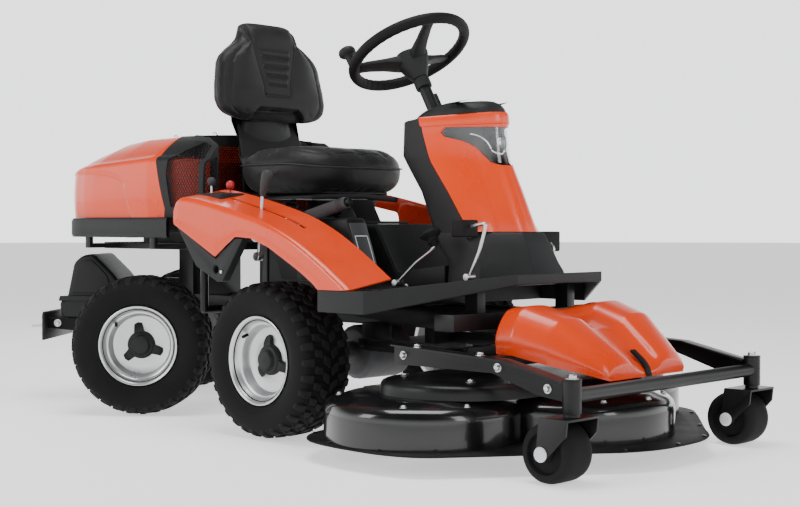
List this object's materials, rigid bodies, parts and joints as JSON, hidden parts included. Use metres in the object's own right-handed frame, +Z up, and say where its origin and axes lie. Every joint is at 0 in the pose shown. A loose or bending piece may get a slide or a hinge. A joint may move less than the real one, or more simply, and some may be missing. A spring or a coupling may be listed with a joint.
{
  "type": "ride-on lawn mower",
  "caption": "Articulated ride-on mower with a front cutter deck, rear-hinged hood, bucket seat and tilted steering wheel.",
  "frame": {"origin": "centre of the base of the bounding box, on the ground", "axes": "+X the way it drives, +Y to the driver's left, +Z up"},
  "size_m": [2.2964, 1.164, 1.1603],
  "materials": {
    "black_steel": "satin",
    "cast": "as cast",
    "dark_plastic": "fine texture",
    "deck_black": "gloss",
    "grip_grey": "satin",
    "lens": "clear",
    "orange": "gloss",
    "red": "satin",
    "rubber": "matte",
    "silver": "silver enamel",
    "tyre": "matte",
    "vinyl": "satin"
  },
  "bodies": {
    "chassis": {"main_frame": "black_steel", "engine": "cast", "fuel_tank": "dark_plastic", "body_skirt": "dark_plastic", "fender_right": "orange", "fender_left": "orange", "lower_panel_right": "dark_plastic", "lower_panel_left": "dark_plastic", "footplate": "dark_plastic", "tunnel": "dark_plastic", "column_cowl": "dark_plastic", "column_cover": "orange", "headlamp_lens": "lens", "dash_cap": "dark_plastic", "seat_bracket": "black_steel", "seat_spring_right": "black_steel", "seat_spring_left": "black_steel", "front_axle": "cast"},
    "hood": {"hood_shell": "orange", "hood_grille": "dark_plastic"},
    "seat_base": {"seat_plate": "black_steel"},
    "seat": {"seat_shell": "dark_plastic", "seat_cushion": "vinyl", "seat_back": "vinyl"},
    "seat_lever": {"seat_lever": "dark_plastic"},
    "steering_column": {"column_tube": "dark_plastic"},
    "steering_wheel": {"steering_wheel": "dark_plastic"},
    "spinner_knob": {"spinner_knob": "dark_plastic"},
    "column_lever": {"column_lever": "dark_plastic"},
    "lift_lever": {"lift_lever": "grip_grey"},
    "lift_button": {"lift_button": "dark_plastic"},
    "height_lever": {"height_lever": "grip_grey"},
    "throttle_lever": {"throttle_lever": "grip_grey"},
    "choke_lever": {"choke_lever": "red"},
    "forward_pedal": {"forward_pedal": "rubber"},
    "reverse_pedal": {"reverse_pedal": "rubber"},
    "brake_pedal": {"brake_pedal": "rubber"},
    "rear_carriage": {"rear_carriage": "black_steel", "rear_housing": "dark_plastic", "tow_plate": "black_steel"},
    "deck_frame": {"deck_frame": "black_steel", "deck_cover": "orange"},
    "deck_shell": {"deck_shell": "deck_black", "belt_cover": "dark_plastic", "deck_belt": "rubber"},
    "front_right_wheel": {"front_right_tyre": "tyre", "front_right_rim": "silver"},
    "front_left_wheel": {"front_left_tyre": "tyre", "front_left_rim": "silver"},
    "rear_right_wheel": {"rear_right_tyre": "tyre", "rear_right_rim": "silver"},
    "rear_left_wheel": {"rear_left_tyre": "tyre", "rear_left_rim": "silver"},
    "blade_right": {"blade_right": "silver"},
    "blade_centre": {"blade_centre": "silver"},
    "blade_left": {"blade_left": "silver"},
    "right_caster_fork": {"right_caster_fork": "black_steel"},
    "right_caster_wheel": {"right_caster_wheel": "rubber"},
    "left_caster_fork": {"left_caster_fork": "black_steel"},
    "left_caster_wheel": {"left_caster_wheel": "rubber"}
  },
  "joints": [
    {"name": "rear_steer", "type": "hinge", "parent": "chassis", "child": "rear_carriage", "pos_m": [-0.66181, 0, 0.285], "axis": [0, 0, 1], "range_deg": [-82, 1]},
    {"name": "front_right_wheel_spin", "type": "hinge", "parent": "chassis", "child": "front_right_wheel", "pos_m": [0.14319, -0.356, 0.2035], "axis": [0, 1, 0], "continuous": true},
    {"name": "front_left_wheel_spin", "type": "hinge", "parent": "chassis", "child": "front_left_wheel", "pos_m": [0.14319, 0.356, 0.2035], "axis": [0, 1, 0], "continuous": true},
    {"name": "rear_right_wheel_spin", "type": "hinge", "parent": "rear_carriage", "child": "rear_right_wheel", "pos_m": [-0.49352, -0.32425, 0.2035], "axis": [-0.6481, 0.7615, 0], "continuous": true},
    {"name": "rear_left_wheel_spin", "type": "hinge", "parent": "rear_carriage", "child": "rear_left_wheel", "pos_m": [-0.95498, 0.21796, 0.2035], "axis": [-0.6481, 0.7615, 0], "continuous": true},
    {"name": "column_slide", "type": "slide", "parent": "chassis", "child": "steering_column", "axis": [-0.4924, 0, 0.8704], "range_m": [-0.03, 0.04]},
    {"name": "steering_turn", "type": "hinge", "parent": "steering_column", "child": "steering_wheel", "pos_m": [0.31805, 0, 0.94752], "axis": [-0.4924, 0, 0.8704], "range_deg": [-12, 660]},
    {"name": "spinner_knob_spin", "type": "hinge", "parent": "steering_wheel", "child": "spinner_knob", "pos_m": [0.1823, -0.12574, 0.98653], "axis": [-0.4924, 0, 0.8704], "continuous": true},
    {"name": "column_lever_turn", "type": "hinge", "parent": "chassis", "child": "column_lever", "pos_m": [0.36729, 0.03, 0.86048], "axis": [0, 1, 0], "range_deg": [-30, 0]},
    {"name": "hood_open", "type": "hinge", "parent": "chassis", "child": "hood", "pos_m": [-0.92981, 0, 0.578], "axis": [0, -1, 0], "range_deg": [0, 80]},
    {"name": "seat_tilt", "type": "hinge", "parent": "chassis", "child": "seat_base", "pos_m": [0.08319, 0, 0.6195], "axis": [0, 1, 0], "range_deg": [0, 35]},
    {"name": "seat_slide", "type": "slide", "parent": "seat_base", "child": "seat", "axis": [1, 0, 0], "range_m": [-0.03, 0.07]},
    {"name": "seat_lever_turn", "type": "hinge", "parent": "seat_base", "child": "seat_lever", "pos_m": [0.06319, -0.16, 0.6305], "axis": [0, 1, 0], "range_deg": [-10, 0], "stiffness_Nm_per_rad": 1.2, "springref_deg": 14.32},
    {"name": "lift_lever_turn", "type": "hinge", "parent": "chassis", "child": "lift_lever", "pos_m": [-0.05681, -0.262, 0.525], "axis": [0, -1, 0], "range_deg": [0, 50]},
    {"name": "lift_button_press", "type": "slide", "parent": "lift_lever", "child": "lift_button", "axis": [0.9724, 0, 0.2334], "range_m": [-0.009, 0], "stiffness_N_per_m": 400, "springref_m": 0.006},
    {"name": "height_lever_turn", "type": "hinge", "parent": "chassis", "child": "height_lever", "pos_m": [0.06819, -0.36, 0.47], "axis": [0, 1, 0], "range_deg": [-24, 24]},
    {"name": "throttle_turn", "type": "hinge", "parent": "chassis", "child": "throttle_lever", "pos_m": [-0.13481, -0.355, 0.602], "axis": [0, 1, 0], "range_deg": [-22, 22]},
    {"name": "choke_turn", "type": "hinge", "parent": "chassis", "child": "choke_lever", "pos_m": [-0.08881, -0.327, 0.602], "axis": [0, 1, 0], "range_deg": [-22, 22]},
    {"name": "forward_pedal_press", "type": "hinge", "parent": "chassis", "child": "forward_pedal", "pos_m": [0.67119, -0.205, 0.42698], "axis": [0, 1, 0], "range_deg": [0, 14], "stiffness_Nm_per_rad": 2.5, "springref_deg": -17.19},
    {"name": "reverse_pedal_press", "type": "hinge", "parent": "chassis", "child": "reverse_pedal", "pos_m": [0.43019, -0.205, 0.4065], "axis": [0, 1, 0], "range_deg": [0, 12], "stiffness_Nm_per_rad": 2.5, "springref_deg": -17.19},
    {"name": "brake_pedal_press", "type": "hinge", "parent": "chassis", "child": "brake_pedal", "pos_m": [0.54319, 0.235, 0.4065], "axis": [0, 1, 0], "range_deg": [0, 14], "stiffness_Nm_per_rad": 3, "springref_deg": -17.19},
    {"name": "deck_lift", "type": "hinge", "parent": "chassis", "child": "deck_frame", "pos_m": [0.27319, 0, 0.24], "axis": [0, -1, 0], "range_deg": [0, 4.5]},
    {"name": "deck_height", "type": "slide", "parent": "deck_frame", "child": "deck_shell", "axis": [0, 0, 1], "range_m": [-0.025, 0.025]},
    {"name": "blade_right_spin", "type": "hinge", "parent": "deck_shell", "child": "blade_right", "pos_m": [0.63819, -0.33, 0.068], "axis": [0, 0, 1], "continuous": true},
    {"name": "blade_centre_spin", "type": "hinge", "parent": "deck_shell", "child": "blade_centre", "pos_m": [0.8332, 0, 0.068], "axis": [0, 0, 1], "continuous": true},
    {"name": "blade_left_spin", "type": "hinge", "parent": "deck_shell", "child": "blade_left", "pos_m": [0.63819, 0.33, 0.068], "axis": [0, 0, 1], "continuous": true},
    {"name": "right_caster_swivel", "type": "hinge", "parent": "deck_frame", "child": "right_caster_fork", "pos_m": [1.10719, -0.374, 0.152], "axis": [0, 0, 1], "continuous": true},
    {"name": "right_caster_spin", "type": "hinge", "parent": "right_caster_fork", "child": "right_caster_wheel", "pos_m": [1.0682, -0.374, 0.067], "axis": [0, 1, 0], "continuous": true},
    {"name": "left_caster_swivel", "type": "hinge", "parent": "deck_frame", "child": "left_caster_fork", "pos_m": [1.10719, 0.374, 0.152], "axis": [0, 0, 1], "continuous": true},
    {"name": "left_caster_spin", "type": "hinge", "parent": "left_caster_fork", "child": "left_caster_wheel", "pos_m": [1.0682, 0.374, 0.067], "axis": [0, 1, 0], "continuous": true}
  ],
  "couplings": [
    {"joint": "steering_turn", "follows": "rear_steer", "ratio": -8},
    {"joint": "lift_lever_turn", "follows": "deck_lift", "ratio": 11},
    {"joint": "height_lever_turn", "follows": "deck_height", "rad_per_m": 16},
    {"joint": "blade_right_spin", "follows": "blade_centre_spin", "ratio": 1},
    {"joint": "blade_left_spin", "follows": "blade_centre_spin", "ratio": 1}
  ]
}
